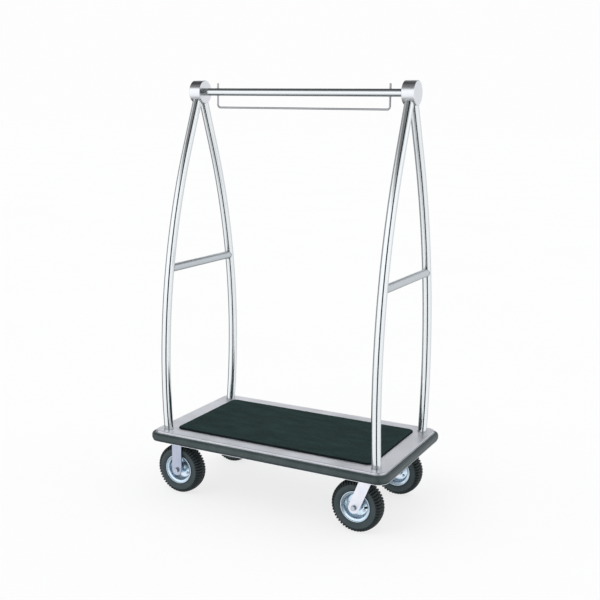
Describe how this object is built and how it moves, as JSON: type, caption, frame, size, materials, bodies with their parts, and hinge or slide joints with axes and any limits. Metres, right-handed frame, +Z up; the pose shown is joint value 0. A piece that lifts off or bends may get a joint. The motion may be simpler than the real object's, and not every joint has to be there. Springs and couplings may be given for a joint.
{
  "type": "hotel luggage cart",
  "caption": "Bellman's luggage cart with a carpeted steel deck, rubber bumper, pneumatic fixed and swivel casters, and bowed tube end frames carrying a round garment bar.",
  "frame": {"origin": "on the floor, under the middle of the deck", "axes": "+X along the deck towards the swivel casters, +Y across it towards the rear side, +Z up"},
  "size_m": [1.086, 0.642, 1.748],
  "materials": {
    "stainless": "brushed stainless",
    "zinc_steel": "bright zinc plate",
    "channel_steel": "grey paint",
    "fasteners": "zinc plated",
    "carpet": "dark green-black cut pile",
    "bumper_rubber": "dark grey-green rubber",
    "tyre": "black rubber, block tread",
    "tube_rubber": "black rubber"
  },
  "bodies": {
    "chassis": {"deck_pan": "stainless", "bumper_rail": "stainless", "hub_left": "stainless", "hub_right": "stainless", "hub_caps": "stainless", "hanging_bar": "stainless", "garment_rail": "stainless", "post_left_front": "stainless", "post_left_rear": "stainless", "post_right_front": "stainless", "post_right_rear": "stainless", "crossbar_left": "stainless", "crossbar_right": "stainless", "end_channel_left": "channel_steel", "end_channel_right": "channel_steel", "deck_stringers": "channel_steel", "post_sockets": "channel_steel", "post_screws": "fasteners", "bar_bolts": "fasteners", "caster_bolts": "fasteners", "carpet_mat": "carpet", "bumper": "bumper_rubber", "rigid_fork_front": "zinc_steel", "rigid_axle_front": "fasteners", "swivel_plate_front": "zinc_steel", "kingpin_front": "fasteners", "rigid_fork_rear": "zinc_steel", "rigid_axle_rear": "fasteners", "swivel_plate_rear": "zinc_steel", "kingpin_rear": "fasteners"},
    "swivel_front": {"swivel_fork_front": "zinc_steel", "ball_cage_front": "fasteners", "swivel_axle_front": "fasteners"},
    "swivel_rear": {"swivel_fork_rear": "zinc_steel", "ball_cage_rear": "fasteners", "swivel_axle_rear": "fasteners"},
    "wheel_rigid_front": {"tyre_rigid_front": "tyre", "inner_tube_rigid_front": "tube_rubber", "rim_outer_rigid_front": "zinc_steel", "rim_inner_rigid_front": "zinc_steel", "rim_bolts_rigid_front": "fasteners", "bearings_rigid_front": "fasteners"},
    "wheel_rigid_rear": {"tyre_rigid_rear": "tyre", "inner_tube_rigid_rear": "tube_rubber", "rim_outer_rigid_rear": "zinc_steel", "rim_inner_rigid_rear": "zinc_steel", "rim_bolts_rigid_rear": "fasteners", "bearings_rigid_rear": "fasteners"},
    "wheel_swivel_front": {"tyre_swivel_front": "tyre", "inner_tube_swivel_front": "tube_rubber", "rim_outer_swivel_front": "zinc_steel", "rim_inner_swivel_front": "zinc_steel", "rim_bolts_swivel_front": "fasteners", "bearings_swivel_front": "fasteners"},
    "wheel_swivel_rear": {"tyre_swivel_rear": "tyre", "inner_tube_swivel_rear": "tube_rubber", "rim_outer_swivel_rear": "zinc_steel", "rim_inner_swivel_rear": "zinc_steel", "rim_bolts_swivel_rear": "fasteners", "bearings_swivel_rear": "fasteners"}
  },
  "joints": [
    {"name": "swivel_front_turn", "type": "hinge", "parent": "chassis", "child": "swivel_front", "pos_m": [0.437, -0.215, 0.23], "axis": [0, 0, 1], "continuous": true},
    {"name": "swivel_rear_turn", "type": "hinge", "parent": "chassis", "child": "swivel_rear", "pos_m": [0.437, 0.215, 0.23], "axis": [0, 0, 1], "continuous": true},
    {"name": "wheel_rigid_front_spin", "type": "hinge", "parent": "chassis", "child": "wheel_rigid_front", "pos_m": [-0.437, -0.215, 0.106], "axis": [0, 1, 0], "continuous": true},
    {"name": "wheel_swivel_front_spin", "type": "hinge", "parent": "swivel_front", "child": "wheel_swivel_front", "pos_m": [0.389, -0.215, 0.106], "axis": [0, 1, 0], "continuous": true},
    {"name": "wheel_rigid_rear_spin", "type": "hinge", "parent": "chassis", "child": "wheel_rigid_rear", "pos_m": [-0.437, 0.215, 0.106], "axis": [0, 1, 0], "continuous": true},
    {"name": "wheel_swivel_rear_spin", "type": "hinge", "parent": "swivel_rear", "child": "wheel_swivel_rear", "pos_m": [0.389, 0.215, 0.106], "axis": [0, 1, 0], "continuous": true}
  ]
}
